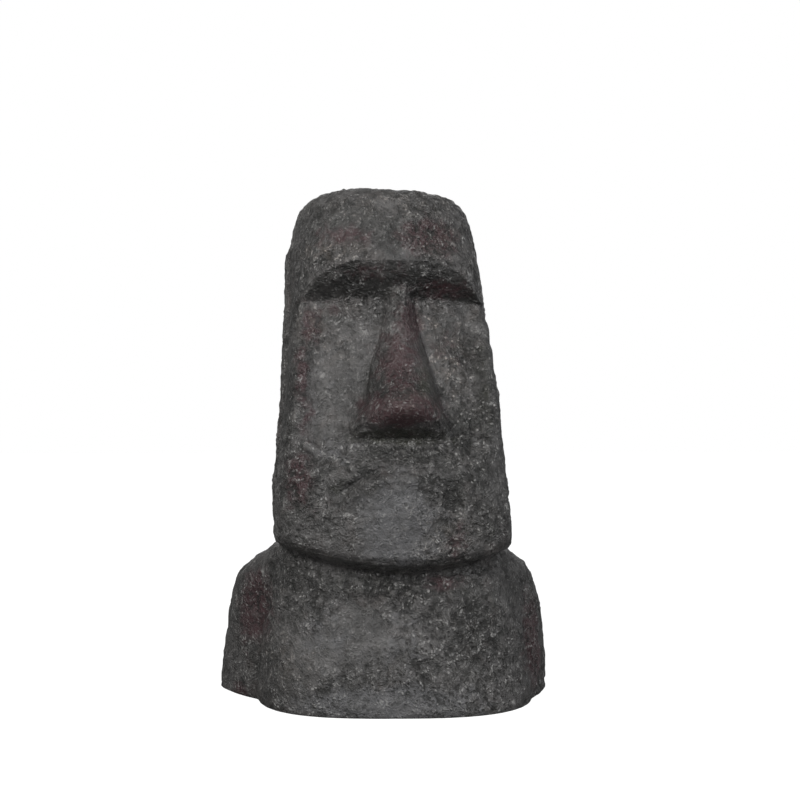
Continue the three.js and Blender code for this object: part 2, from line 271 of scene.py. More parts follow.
def hollow_depth(x, height):
    """Hollow behind the brow; above the eye line it closes up to the arched edge."""
    across = np.abs(x + BROW_SHIFT)
    edge = BROW_HEIGHT - brow_fall(across)
    eye = EYE_HEIGHT - 2 * ramp(60, 110, across)
    span = np.maximum(edge - eye, 3)
    level = np.where(height > eye, 468 + (height - eye) * 37 / span, height)
    fade = 1 - ramp(*HOLLOW_FADE, np.abs(x))
    close = np.clip((edge - eye) / 44, 0, 1) ** 0.45
    return face_hollow(level) * fade * mix(1, close, ramp(430, 468, height))


def mouth_relief(across, height):
    out = np.minimum(across, MOUTH_HALF_WIDTH * 1.2) / MOUTH_HALF_WIDTH
    above = height - (MOUTH_HEIGHT - MOUTH_FALL * out * out)
    within = 1 - ramp(46, 72, across)
    lips = LOWER_LIP_SWELL * swell(above, -9, 8) + UPPER_LIP_SWELL * swell(above, 9, 8)
    line = MOUTH_DEPTH * swell(above, 0, 5)
    corner_height = MOUTH_HEIGHT - MOUTH_FALL - 2
    corner = swell(across, MOUTH_HALF_WIDTH, 13) * swell(height, corner_height, 17)
    muzzle = MUZZLE_SWELL * swell(across, 0, 60) * swell(height, MUZZLE_HEIGHT, 48)
    return muzzle + (lips - line) * within - MOUTH_CORNER_DEPTH * corner


def nose_relief(across, height, forward):
    out = np.minimum(across / nose_foot(height), 1)
    wall = (1 - out ** nose_power(height)) ** (1 / nose_round(height))
    full = wall**3 / (wall * wall + NOSE_FILLET) * (1 + NOSE_FILLET)
    stand = np.maximum(nose_ridge(height) - forward, 0) * ramp(522, 505, height)
    tip = NOSE_TIP_SWELL * swell(across, 0, 15) * swell(height, NOSE_TIP_HEIGHT, 12)
    return stand * full + tip


def face_forward(x, height, blank):
    across = np.abs(x)
    plane = blank - hollow_depth(x, height) + mouth_relief(across, height)
    return plane + nose_relief(across, height, plane)


def ring_columns(front_times, side_times, back_times):
    """Part and place of every column round the body."""
    count = FRONT_COLUMNS * front_times
    front = 1 - 2 * np.arange(count) / count
    steps = len(SIDE_COLUMNS) - 1
    down = np.arange(steps * side_times) / side_times
    left = np.interp(down, np.arange(steps + 1), SIDE_COLUMNS)
    right = np.interp(steps - down, np.arange(steps + 1), SIDE_COLUMNS)
    count = BACK_COLUMNS * back_times
    back = -1 + 2 * np.arange(count) / count
    places = (front, left, back, right)
    part = np.concatenate([np.full(len(p), i) for i, p in enumerate(places)])
    return part, np.concatenate(places)


def level_rows(times):
    rows = []
    for i, level in enumerate(LEVELS[:-1]):
        count = level[0] * times
        rows += [i + k / count for k in range(count)]
    return np.array(rows)


def ring_shares(part, place, height, width, square, square_back):
    """Sideways and forward share (-1 to 1) of the columns on the rounded-square ring."""
    corner = 2 ** (-1 / square)
    beside = ramp(262, 301, height) * ramp(560, 512, height)
    reach = mix(FREE_COLUMN_REACH, nose_foot(height) + 0.5, beside)
    foot = np.minimum(reach / np.maximum(width, 40), 0.42 * corner + 0.05)
    out = np.abs(place)
    inner = np.minimum(out / NOSE_COLUMN_SHARE, 1) * foot
    outer = (out - NOSE_COLUMN_SHARE) / (1 - NOSE_COLUMN_SHARE) * (corner - foot)
    share = np.where(out < NOSE_COLUMN_SHARE, inner, foot + np.maximum(outer, 0))
    ahead = (1 - np.clip(share, 0, 1) ** square) ** (1 / square)
    power = np.where((place > 0) & (part != BACK), square, square_back)
    ring = (1 + out**power) ** (-1 / power)
    sideways = np.select(
        [part == FRONT, part == LEFT, part == BACK],
        [np.sign(place) * share, -ring, place * ring],
        ring,
    )
    forward = np.select([part == FRONT, part == BACK], [ahead, -ring], place * ring)
    return sideways, forward


def row_bend(middle, x, share):
    """Share of the middle height a row keeps: rows follow chin, mouth, nose and brow."""
    across = np.abs(x)
    chin = np.clip(1 - (np.abs(share) / 0.92) ** 1.8, 0, 1)
    mouth = 1 - np.minimum(across / (MOUTH_HALF_WIDTH * 1.2), 1) ** 2
    nose = 1 - np.minimum(across / NOSE_WING_REACH, 1) ** 2
    brow = np.clip(1 - brow_fall(np.abs(x + BROW_SHIFT)) / 40, 0, 1)
    low = mix(chin, mouth, ramp(200, 250, middle))
    high = mix(nose, brow, ramp(370, 430, middle))
    return mix(low, high, ramp(286, 304, middle))


def smooth_form(part, place, rows):
    """Points (x, forward, z) of the bust's smooth form, one row per level row."""
    level = rows[:, None] + np.zeros(len(place))
    part = part[None, :]
    place = place[None, :]
    middle = front_height(level)
    around = side_height(level)
    in_head = level > JAW_LEVEL
    z = np.where(in_head, around, middle)
    for _ in range(3):
        sizes = [
            np.where(in_head, head(z), bust(level))
            for head, bust in zip(head_sizes, bust_sizes)
        ]
        width, line, reach_front, reach_back, square, square_back = sizes
        sideways, forward_share = ring_shares(part, place, z, width, square, square_back)
        x = width * sideways
        bend = np.where(forward_share > 0, row_bend(middle, x, sideways), 0)
        z = mix(around, middle, bend)
    ahead = forward_share > 0
    side = np.sign(sideways)
    forward = line + np.where(ahead, reach_front - line, reach_back + line) * forward_share
    z = z + TOP_SLOPE * (forward + 38) * ramp(*TOP_SLOPE_HEIGHTS, z)

    flank = ((part == LEFT) | (part == RIGHT)) & (around < SHOULDER_TOP)
    shoulder = np.where(side < 0, shoulder_left(around), shoulder_right(around))
    past = np.maximum(shoulder - side * side_shift(around) - width, 0)
    before = place > ARM_MIDDLE
    end = np.where(before, arm_front(around), ARM_BACK)
    along = np.clip(np.abs((place - ARM_MIDDLE) / (end - ARM_MIDDLE)), 0, 1)
    soft = 0.5 * ramp(*ARM_SOFT_HEIGHTS, around)
    full = (1 - along ** np.where(before, 1.5, 2)) ** (np.where(before, 1, 0.6) + soft)
    x = x + np.where(flank, side * past * full, 0)

    ear_line = EAR_FORWARD_AT_TOP + (EAR_TOP - z) * EAR_SLANT
    ear_span = ramp(EAR_TOP + 5, EAR_TOP - 10, z) * ramp(EAR_BOTTOM - 35, EAR_BOTTOM + 35, z)
    ear_edge = 1 - ramp(0.75, 1.1, np.abs(forward - ear_line) / EAR_HALF_WIDTH)
    x = x + side * EAR_SWELL * ear_span * ear_edge * ramp(0.85, 0.97, np.abs(sideways))

    carved = face_forward(x, z, forward)
    on_face = ahead & (middle > CREASE_HEIGHT)
    forward = np.where(on_face, mix(forward, carved, ramp(165, 200, z)), forward)
    near = 1 - np.minimum(np.abs(x) / NOSE_SHIFT_REACH, 1) ** 2
    x = x + np.where(on_face, nose_shift(z) * near * near, 0)

    z = z - JAW_TILT * x * swell(around, JAW_TILT_HEIGHT, JAW_TILT_SPREAD)
    turn = np.radians(head_turn(around))
    turned_x = x * np.cos(turn) + forward * np.sin(turn)
    turned_forward = forward * np.cos(turn) - x * np.sin(turn)
    return np.stack([turned_x + side_shift(z), turned_forward, np.maximum(z, 0)], axis=-1)


# ---------------------------------------------------------------------------
# The cast skin: lumps, stipple and pits raised on the smooth form.
# ---------------------------------------------------------------------------


class Grain:
    """Repeatable three-dimensional noise for the skin."""

    def __init__(self, seed):
        draw = np.random.default_rng(seed)
        self.order = draw.permutation(256)
        arrows = draw.normal(size=(256, 3))
        self.arrows = arrows / np.linalg.norm(arrows, axis=1, keepdims=True)
        self.spots = draw.random((256, 3))
        self.chance = draw.random(256)

    def pick(self, cell):
        i, j, k = (cell[..., n] & 255 for n in range(3))
        return self.order[(self.order[(self.order[i] + j) & 255] + k) & 255]

    def waves(self, points, size):
        """Soft noise between about -1 and 1 with lumps of the given size."""
        scaled = points / size
        cell = np.floor(scaled).astype(int)
        local = scaled - cell
        fade = local * local * local * (local * (local * 6 - 15) + 10)
        total = np.zeros(points.shape[:-1])
        for corner in np.ndindex(2, 2, 2):
            corner = np.array(corner)
            arrow = self.arrows[self.pick(cell + corner)]
            weight = np.prod(np.where(corner == 1, fade, 1 - fade), axis=-1)
            total += weight * np.sum(arrow * (local - corner), axis=-1)
        return total * 1.7

    def pits(self, points, size, share):
        """Round pits, 1 at the middle and 0 at the edge, in a share of the cells."""
        scaled = points / size
        cell = np.floor(scaled).astype(int)
        deepest = np.zeros(points.shape[:-1])
        for step in np.ndindex(3, 3, 3):
            near = cell + np.array(step) - 1
            which = self.pick(near)
            middle = near + self.spots[which]
            away = np.linalg.norm(scaled - middle, axis=-1)
            wide = 0.22 + 0.25 * self.chance[(which + 97) & 255]
            pit = np.clip(1 - away / wide, 0, 1) * (self.chance[which] < share)
            deepest = np.maximum(deepest, pit)
        return deepest * deepest * (3 - 2 * deepest)


# Places where the skin differs: x, z, half width, half height, strength.
SMOOTH_PLACES = (
    (-45, 555, 45, 30, 0.7), (-55, 380, 38, 60, 0.8), (14, 222, 34, 42, 0.9),
    (-50, 85, 50, 40, 0.8), (-5, 15, 60, 18, 0.4), (10, 520, 22, 12, 0.6),
    (45, 420, 14, 40, 0.6),
)
ROUGH_PLACES = (
    (60, 560, 45, 35, 0.9), (70, 215, 35, 45, 1.0), (90, 60, 60, 50, 0.8),
    (-95, 270, 26, 60, 0.6), (105, 320, 18, 80, 0.7), (-70, 525, 35, 16, 0.8),
    (0, 140, 130, 18, 0.7), (14, 300, 55, 14, 0.6), (-70, 250, 24, 24, 0.5),
)
# Dark wash of the stone's darker tone, and painted shade under the chin and nose, along the mouth
# line, in the mouth corners and down the turning sides of the face.
DARK_AND_SHADE_PLACES = (
    (87, 322, 20, 34, 1.0), (38, 292, 42, 16, 0.8), (76, 250, 18, 20, 1.0),
    (56, 216, 26, 36, 0.4), (108, 235, 22, 60, 0.75), (64, 552, 34, 34, 0.4),
    (-92, 540, 22, 44, 0.6), (-114, 350, 12, 120, 0.6), (114, 350, 16, 110, 0.7),
    (0, 140, 120, 12, 0.9), (95, 80, 44, 50, 0.75), (-120, 150, 40, 22, 0.75),
    (-55, 252, 16, 16, 0.7), (-172, 55, 30, 70, 0.5), (188, 60, 18, 70, 0.5),
    (-40, 560, 60, 32, 0.8), (14, 316, 58, 10, 0.6), (14, 356, 46, 32, 1.5),
    (12, 388, 28, 40, 1.0), (7, 452, 9, 26, 0.6), (12, 297, 50, 10, 0.7),
    (-22, 273, 18, 4, 1.1), (-45, 262, 13, 5, 1.0), (48, 265, 16, 5, 1.0),
    (-55, 450, 40, 18, 0.75),
    (-20, 290, 40, 10, 0.4), (6, 545, 18, 40, 0.8), (-70, 30, 16, 30, 0.5),
    (-97, 385, 11, 46, 1.1),
    (-30, 595, 60, 10, 0.5), (-105, 210, 16, 34, 0.4), (-38, 455, 14, 20, 0.4),
)
RED_PLACES = (
    (14, 395, 28, 50, 0.95), (16, 342, 50, 22, 1.2), (-96, 385, 11, 46, 0.75),
    (-92, 330, 12, 60, 0.6), (-162, 108, 28, 44, 1.3), (-180, 6, 22, 16, 0.8),
    (182, 72, 20, 58, 1.2), (62, 482, 48, 13, 0.8), (28, 444, 20, 32, 0.9),
    (80, 195, 13, 22, 0.8), (50, 542, 40, 26, 0.95), (-20, 498, 60, 14, 0.6),
    (-50, 540, 38, 16, 0.8), (-98, 266, 20, 34, 0.95), (-86, 442, 18, 26, 0.75),
    (66, 145, 26, 10, 0.8),
    (-58, 458, 30, 16, 0.5), (70, 415, 26, 30, 0.5),
)
COOL_PLACES = (
    (11, 520, 14, 10, 0.5), (-62, 375, 32, 62, 0.35), (16, 216, 46, 50, 1.2),
    (0, 14, 110, 22, 1.3), (-60, 86, 50, 44, 0.6), (30, 20, 60, 16, 0.8), (20, 82, 36, 46, 0.6),
    (-60, 300, 40, 22, 0.6), (50, 400, 16, 40, 0.5), (62, 298, 20, 16, 0.4),
)
TAN_PLACES = (
    (-66, 524, 34, 12, 1.3), (-86, 440, 14, 20, 1.3), (74, 396, 22, 44, 1.0),
    (56, 440, 20, 22, 0.7), (-60, 410, 24, 20, 0.5), (-110, 60, 30, 30, 0.5),
    (66, 205, 30, 24, 0.7), (10, 580, 70, 18, 0.6), (70, 545, 34, 26, 0.6),
    (24, 352, 16, 12, 0.8),
)
# Olive wash, and painted shade under the nose, under the chin, in a mouth corner and on the shaded
# right side of the nose.
OLIVE_AND_SHADE_PLACES = (
    (20, 312, 56, 12, 1.0), (0, 156, 130, 12, 0.4), (44, 372, 10, 34, 0.7),
    (-56, 252, 14, 16, 0.5), (100, 130, 60, 26, 0.4), (112, 380, 14, 90, 0.5),
)


def place_mask(points, places):
    """Soft mask of the listed places on the front half of the bust."""
    facing = ramp(-30, 20, points[..., 1])
    mask = np.zeros(points.shape[:-1])
    for x, z, half_x, half_z, strength in places:
        away = ((points[..., 0] - x) / half_x) ** 2 + ((points[..., 2] - z) / half_z) ** 2
        mask = np.maximum(mask, strength * np.exp(-0.9 * away))
    return mask * facing


def surface_normals(points):
    """Outward directions of a ring-wise grid of (x, forward, z) points."""
    along = np.roll(points, -1, axis=1) - np.roll(points, 1, axis=1)
    up = np.gradient(points, axis=0)
    normal = np.cross(along, up)
    length = np.linalg.norm(normal, axis=-1, keepdims=True)
    return normal / np.maximum(length, 1e-9)


def cast_skin(points, settings):
    """Raises the skin on the form. Returns the points, height share and roughness."""
    grain = Grain(settings.grain_seed)
    fine = Grain(settings.grain_seed + 1)
    drift = np.stack(
        [fine.waves(points + 400 * axis, 30) for axis in range(1, 4)], axis=-1
    )
    wandering = points + drift * 5
    broad = grain.waves(points, 85) + 0.8 * grain.waves(points + 90, 36)
    rough = 0.6 + 0.5 * grain.waves(points + 700, 48)
    rough += 0.45 * place_mask(points, ROUGH_PLACES)
    rough = np.clip(rough - 0.6 * place_mask(points, SMOOTH_PLACES), 0.22, 1)
    lumps = grain.waves(wandering + 210, 17)
    stipple = fine.waves(wandering, 9) + 0.7 * fine.waves(wandering + 50, 5.6)
    # winding creases where the paste has been pressed together
    crease = ramp(0.12, 0, np.abs(grain.waves(wandering + 330, 19)))
    pits = grain.pits(wandering, 10, 0.4)
    raised = (
        settings.broad_height * broad
        + settings.lump_height * lumps * (0.4 + 0.6 * rough)
        + settings.stipple_height * stipple * rough
        - settings.crease_depth * crease * rough
        - settings.pit_depth * pits * rough
        - settings.set_back
    )
    # nothing moves on the ground line, so the bust still stands flat
    settle = ramp(0.0, 6.0, points[..., 2])
    normal = surface_normals(points)
    # undersides were smoothed by the mould
    calm = 1 - 0.6 * ramp(-0.1, -0.6, normal[..., 2])
    lifted = points + normal * (raised * calm * (0.25 + 0.75 * settle))[..., None]
    lifted[..., 2] = np.where(points[..., 2] < 0.01, 0, np.maximum(lifted[..., 2], 0.2))
    relief_height = (stipple * 0.6 - crease * 0.5 - pits * 0.6) * rough + lumps * 0.35
    return lifted, np.clip(0.5 + 0.5 * relief_height, 0, 1), rough


def bust_mesh(settings):
    part, place = ring_columns(
        settings.front_detail, settings.side_detail, settings.back_detail
    )
    rows = level_rows(settings.row_detail)
    form = smooth_form(part, place, rows)
    skin, relief_height, rough = cast_skin(form, settings)
    count = len(place)
    top_level = LEVELS[-1]
    top_z = top_level[1] + TOP_SLOPE * (top_level[4] + 38)
    top = np.array([side_shift(top_level[1]), top_level[4], top_z])
    underside = np.array([side_shift(0), 0.0, 0.0])
    points = np.concatenate([skin.reshape(-1, 3), [underside, top]])
    form_points = np.concatenate([form.reshape(-1, 3), [underside, top]])

    # the smooth form is set into the CAD box; the skin rides along with it
    low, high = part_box(BUST_NODE)
    middle_x = (form_points[:, 0].min() + form_points[:, 0].max()) / 2
    middle_forward = (form_points[:, 1].min() + form_points[:, 1].max()) / 2
    size = (high[2] - low[2]) / form_points[:, 2].max()
    placed = np.empty_like(points)
    placed[:, 0] = (points[:, 0] - middle_x) * size + (low[0] + high[0]) / 2
    placed[:, 1] = (middle_forward - points[:, 1]) * size + (low[1] + high[1]) / 2
    placed[:, 2] = points[:, 2] * size + low[2]

    grid = np.arange(len(rows) * count).reshape(len(rows), count)
    a, b = grid[:-1], np.roll(grid, -1, axis=1)[:-1]
    c, d = grid[1:], np.roll(grid, -1, axis=1)[1:]
    quads = np.stack([a, c, d, b], axis=-1).reshape(-1, 4)
    first, last = grid[0], grid[-1]
    under_index = len(rows) * count
    under = [(under_index, int(i), int(j)) for i, j in zip(first, np.roll(first, -1))]
    over = [(int(i), under_index + 1, int(j)) for i, j in zip(last, np.roll(last, -1))]
    faces = quads.tolist() + over + under
    mesh = bpy.data.meshes.new(BUST_NODE + "_skin")
    mesh.from_pydata(placed.tolist(), [], faces)
    smooth = np.ones(len(faces), bool)
    smooth[-count:] = False
    mesh.polygons.foreach_set("use_smooth", smooth)

    normals = surface_normals(form)
    sideways = ramp(0.45, 0.9, np.abs(normals[..., 0]))
    below = ramp(-0.2, -0.62, normals[..., 2]) * ramp(438, 452, form[..., 2])
    masks = {
        "flank": np.append(sideways.ravel(), [0.0, 0.0]),
        "brow_shade": np.append(below.ravel(), [0.0, 0.0]),
        "relief_height": np.append(relief_height.ravel(), [0.5, 0.5]),
        "rough": np.append(rough.ravel(), [0.5, 0.5]),
    }
    for name, places in (
        ("dark_wash_and_painted_shade", DARK_AND_SHADE_PLACES),
        ("red_wash", RED_PLACES),
        ("cool_wash", COOL_PLACES),
        ("tan_brush", TAN_PLACES),
        ("olive_wash_and_painted_shade", OLIVE_AND_SHADE_PLACES),
    ):
        masks[name] = place_mask(form_points, places)
    for name, values in masks.items():
        layer = mesh.attributes.new(name, "FLOAT", "POINT")
        layer.data.foreach_set("value", values.astype(np.float32))
    mesh.update()
    mesh.validate()
    return mesh


# ---------------------------------------------------------------------------
# Shader helpers and the stone
# ---------------------------------------------------------------------------


class Board:
    """Places and links shader nodes from left to right."""

    def __init__(self, tree):
        self.tree = tree
        self.across = 0

    def add(self, kind, inputs=None, **values):
        node = self.tree.nodes.new(kind)
        node.location = (self.across, 0)
        self.across += 220
        for name, value in values.items():
            setattr(node, name, value)
        for socket, value in (inputs or {}).items():
            self.feed(node, socket, value)
        return node

    def feed(self, node, socket, value):
        target = node.inputs[socket]
        if isinstance(value, bpy.types.NodeSocket):
            self.tree.links.new(value, target)
        else:
            target.default_value = value

    def maths(self, operation, a, b=0.0, clamp=False):
        node = self.add("ShaderNodeMath", {0: a, 1: b}, operation=operation)
        node.use_clamp = clamp
        return node.outputs[0]

    def between(self, value, low, high, to_low=0.0, to_high=1.0):
        node = self.add(
            "ShaderNodeMapRange",
            {"Value": value, "From Min": low, "From Max": high,
             "To Min": to_low, "To Max": to_high},
        )
        node.interpolation_type = "SMOOTHSTEP"
        return node.outputs["Result"]

    def tint(self, share, below, above, blend="MIX"):
        node = self.add("ShaderNodeMix", data_type="RGBA", blend_type=blend)
        self.feed(node, 0, share)
        self.feed(node, 6, below)
        self.feed(node, 7, above)
        return node.outputs[2]

    def noise(self, where, scale, detail=2.0, rough=0.5, drift=0.0):
        node = self.add(
            "ShaderNodeTexNoise",
            {"Vector": where, "Scale": scale, "Detail": detail,
             "Roughness": rough, "Distortion": drift},
        )
        return node.outputs["Fac"]


def group_board(name, inputs, outputs):
    """New shader group with named sockets; returns it with its board and ends."""
    tree = bpy.data.node_groups.new(name, "ShaderNodeTree")
    for label, kind, value in inputs:
        socket = tree.interface.new_socket(label, in_out="INPUT", socket_type=kind)
        if value is not None:
            socket.default_value = value
    for label, kind in outputs:
        tree.interface.new_socket(label, in_out="OUTPUT", socket_type=kind)
    board = Board(tree)
    start = board.add("NodeGroupInput")
    return tree, board, start


FLOAT, COLOUR, VECTOR = "NodeSocketFloat", "NodeSocketColor", "NodeSocketVector"


def stipple_group():
    """Height, crevices and pale flecks of the stippled casting; the crevices carry painted shade
    and the flecks carry dry brush and painted glints.
    """
    tree, board, start = group_board(
        "cast_stipple",
        [("Place", VECTOR, None), ("Grains per metre", FLOAT, 92.0), ("Rough", FLOAT, 0.5)],
        [("Height", FLOAT), ("Crevices", FLOAT), ("Flecks", FLOAT)],
    )
    where, per_metre, rough = (start.outputs[i] for i in range(3))
    bend = board.add(
        "ShaderNodeTexNoise", {"Vector": where, "Scale": 62.0, "Detail": 2.0}
    ).outputs["Color"]
    push = board.add(
        "ShaderNodeVectorMath", {0: bend, 1: (0.012, 0.012, 0.012)}, operation="MULTIPLY"
    ).outputs[0]
    bent = board.add("ShaderNodeVectorMath", {0: where, 1: push}, operation="ADD").outputs[0]
    clumps = board.noise(bent, per_metre, 4.0, 0.72)
    crumbs = board.noise(bent, board.maths("MULTIPLY", per_metre, 3.6), 2.0, 0.6)
    cells = board.add(
        "ShaderNodeTexVoronoi",
        {"Vector": bent, "Scale": board.maths("MULTIPLY", per_metre, 3.1)},
        feature="F1",
    )
    chance = board.add("ShaderNodeSeparateColor", {0: cells.outputs["Color"]}).outputs[0]
    dot = board.between(cells.outputs["Distance"], 0.55, 0.25)
    grit = board.maths("MULTIPLY", dot, board.between(chance, 0.56, 0.9))
    hole = board.maths("MULTIPLY", dot, board.between(chance, 0.42, 0.2))
    strength = board.maths("ADD", board.maths("MULTIPLY", rough, 0.8), 0.2)
    height = board.maths("ADD", clumps, board.maths("MULTIPLY", crumbs, 0.3))
    height = board.maths("ADD", height, board.maths("MULTIPLY", grit, 0.14))
    height = board.maths("SUBTRACT", height, board.maths("MULTIPLY", hole, 0.18))
    height = board.maths("MULTIPLY", height, strength)
    # low: dark wash and painted shade in the crevices of the grain; flecks: pale dry brush and
    # painted glints on the high grain
    low = board.maths(
        "ADD", board.between(clumps, 0.50, 0.37), board.maths("MULTIPLY", hole, 0.85), True
    )
    low = board.maths("MULTIPLY", low, strength)
    high = board.between(clumps, 0.44, 0.58)
    flecks_and_glints = board.maths("ADD", board.maths("MULTIPLY", high, 0.8), 0.2)
    flecks_and_glints = board.maths("MULTIPLY", flecks_and_glints, grit)
    flecks_and_glints = board.maths("ADD", flecks_and_glints, board.between(clumps, 0.60, 0.70), True)
    end = board.add("NodeGroupOutput")
    for socket, value in zip(("Height", "Crevices", "Flecks"), (height, low, flecks_and_glints)):
        board.feed(end, socket, value)
    return tree


def wash_group():
    """A thin colour wash that breaks up into blotches."""
    tree, board, start = group_board(
        "colour_wash",
        [("Colour", COLOUR, (0.1, 0.1, 0.1, 1)), ("Wash", COLOUR, (0.1, 0.05, 0.05, 1)),
         ("Mask", FLOAT, 0.0), ("Place", VECTOR, None), ("Blotches per metre", FLOAT, 60.0),
         ("Strength", FLOAT, 1.0)],
        [("Colour", COLOUR)],
    )
    colour, wash, mask, where, per_metre, strength = (start.outputs[i] for i in range(6))
    blotch = board.noise(where, per_metre, 4.0, 0.62, 0.4)
    uneven = board.maths("MULTIPLY", board.maths("SUBTRACT", blotch, 0.5), 1.5)
    reach = board.maths("ADD", mask, uneven)
    share = board.maths("MULTIPLY", board.between(reach, 0.30, 0.85), strength, True)
    end = board.add("NodeGroupOutput")
    board.feed(end, 0, board.tint(share, colour, wash))
    return tree


def use_group(board, tree, inputs):
    node = board.add("ShaderNodeGroup")
    node.node_tree = tree
    for socket, value in inputs.items():
        board.feed(node, socket, value)
    return node


def colour4(value):
    return (value[0], value[1], value[2], 1.0)


def stone_material(colours):
    material = bpy.data.materials.new("cast_stone_skin")
    material.use_nodes = True
    board = Board(material.node_tree)
    shader = material.node_tree.nodes["Principled BSDF"]
    where = board.add("ShaderNodeTexCoord").outputs["Object"]

    def layer(name):
        return board.add("ShaderNodeAttribute", attribute_name=name).outputs["Fac"]

    rough, relief_height = layer("rough"), layer("relief_height")
    stipple = use_group(
        board, stipple_group(), {"Place": where, "Grains per metre": 92.0, "Rough": rough}
    )
    height, crevices, flecks_and_glints = (stipple.outputs[i] for i in range(3))

    # broad, middling and fine mottling of the charcoal body colour
    broad = board.noise(where, 11.0, 4.0, 0.6, 0.3)
    patchy = board.noise(where, 44.0, 4.0, 0.62, 0.6)
    fine = board.noise(where, 420.0, 2.0, 0.6)
    tone = board.maths(
        "ADD", board.maths("MULTIPLY", broad, 0.5), board.maths("MULTIPLY", patchy, 0.7)
    )
    tone = board.between(tone, 0.44, 0.76)
    body = board.tint(tone, colour4(colours.body_dark), colour4(colours.body_light))
    body = board.tint(
        board.between(board.noise(where, 30.0, 3.0, 0.6, 0.6), 0.50, 0.72, 0.0, 0.6),
        body, colour4(colours.body_warm),
    )

    # the flanks are brushed upright
    upright = board.add("ShaderNodeMapping", {"Vector": where, "Scale": (1, 1, 0.16)}).outputs[0]
    brushed = board.noise(upright, 330.0, 3.0, 0.6)
    flank = layer("flank")
    streak = board.maths("MULTIPLY", board.between(brushed, 0.52, 0.36), flank)
    body = board.tint(board.maths("MULTIPLY", streak, 0.7), body, colour4(colours.dark_wash_and_painted_shade))

    wash = wash_group()
    # brow_shade is painted shade where the surface under the brow faces down; the dark and olive
    # washes also hold painted shade.
    for mask, shade, per_metre, strength in (
        ("cool_wash", colours.cool_wash, 52.0, 0.75),
        ("brow_shade", colours.dark_wash_and_painted_shade, 70.0, 0.75),
        ("dark_wash_and_painted_shade", colours.dark_wash_and_painted_shade, 58.0, 0.85),
        ("olive_wash_and_painted_shade", colours.olive_wash_and_painted_shade, 60.0, 0.8),
        ("red_wash", colours.red_wash, 75.0, 0.9),
    ):
        body = use_group(
            board, wash,
            {"Colour": body, "Wash": colour4(shade), "Mask": layer(mask), "Place": where,
             "Blotches per metre": per_metre, "Strength": strength},
        ).outputs[0]

    # crevices hold dark wash and painted shade, and high grain shows worn paler with painted
    # highlights
    low = board.maths("MAXIMUM", crevices, board.between(relief_height, 0.44, 0.16))
    low = board.maths("MULTIPLY", low, 0.95)
    peak = board.maths(
        "ADD", board.maths("MULTIPLY", relief_height, 0.8), board.maths("MULTIPLY", fine, 0.5)
    )
    peak = board.maths("MULTIPLY", board.between(peak, 0.62, 0.95), 0.5)
    body = board.tint(peak, body, colour4(colours.worn_pale_and_highlight))
    body = board.tint(low, body, colour4(colours.pit_wash_and_shade))
    # pale grey flecks: dry brush and painted glints on the rough grain
    fleck_share = board.maths("ADD", board.maths("MULTIPLY", rough, 0.72), 0.12)
    body = board.tint(
        board.maths("MULTIPLY", flecks_and_glints, fleck_share, True), body, colour4(colours.grey_brush_and_glints)
    )
    tan_patch = board.between(board.noise(where, 95.0, 2.0, 0.6, 0.5), 0.42, 0.62)
    tan_share = board.maths("MULTIPLY", layer("tan_brush"), 0.85)
    tan_share = board.maths("MULTIPLY", tan_share, tan_patch)
    tan_grain = board.maths("ADD", board.maths("MULTIPLY", flecks_and_glints, 0.8), 0.12)
    body = board.tint(
        board.maths("MULTIPLY", tan_share, tan_grain, True), body, colour4(colours.tan_brush)
    )
    board.feed(shader, "Base Color", body)

    dull = board.between(rough, 0.15, 0.9, 0.48, 0.34)
    uneven = board.maths("MULTIPLY", board.maths("SUBTRACT", fine, 0.5), 0.3)
    dull = board.maths("ADD", dull, uneven)
    dull = board.maths("ADD", dull, board.maths("MULTIPLY", low, 0.35), True)
    board.feed(shader, "Roughness", dull)
    shader.inputs["Specular IOR Level"].default_value = 0.5

    lifted = board.maths("MULTIPLY", board.maths("MULTIPLY", brushed, flank), 0.5)
    bump = board.add(
        "ShaderNodeBump",
        {"Height": board.maths("ADD", height, lifted), "Strength": 1.0, "Distance": 0.0075},
    )
    board.feed(shader, "Normal", bump.outputs[0])
    output = material.node_tree.nodes["Material Output"]
    shader.location = (board.across, 0)
    output.location = (board.across + 320, 0)
    return material


# ---------------------------------------------------------------------------
# Settings a user would change
# ---------------------------------------------------------------------------


def shade(label, about, value):
    return FloatVectorProperty(
        name=label, description=about, default=value, size=3, min=0, max=1, subtype="COLOR"
    )


def height_mm(label, about, value):
    return FloatProperty(name=label, description=about, default=value, min=0, max=5)


class MoaiSkinSettings(PropertyGroup):
    front_detail: IntProperty(
        name="Front detail", description="Skin columns to each column of the solid's front",
        default=4, min=1, max=6,
    )
    side_detail: IntProperty(
        name="Side detail", description="Skin columns to each column of the solid's sides",
        default=3, min=1, max=6,
    )
    back_detail: IntProperty(
        name="Back detail", description="Skin columns to each column of the solid's back",
        default=7, min=1, max=8,
    )
    row_detail: IntProperty(
        name="Row detail", description="Skin rows to each row of the solid",
        default=5, min=1, max=6,
    )
    grain_seed: IntProperty(
        name="Grain seed", description="Start of the random draw that makes the grain",
        default=23, min=0,
    )
    broad_height: height_mm("Broad unevenness", "Height of the slow hand-made waves, mm", 1.1)
    lump_height: height_mm("Lumps", "Height of the finger-wide lumps, mm", 1.5)
    stipple_height: height_mm("Stipple", "Height of the stippled grain, mm", 1.8)
    crease_depth: height_mm("Creases", "Depth of the winding creases, mm", 0.8)
    pit_depth: height_mm("Pits", "Depth of the cast pits, mm", 1.2)
    set_back: height_mm("Set back", "How far the grain sits inside the solid, mm", 0.8)


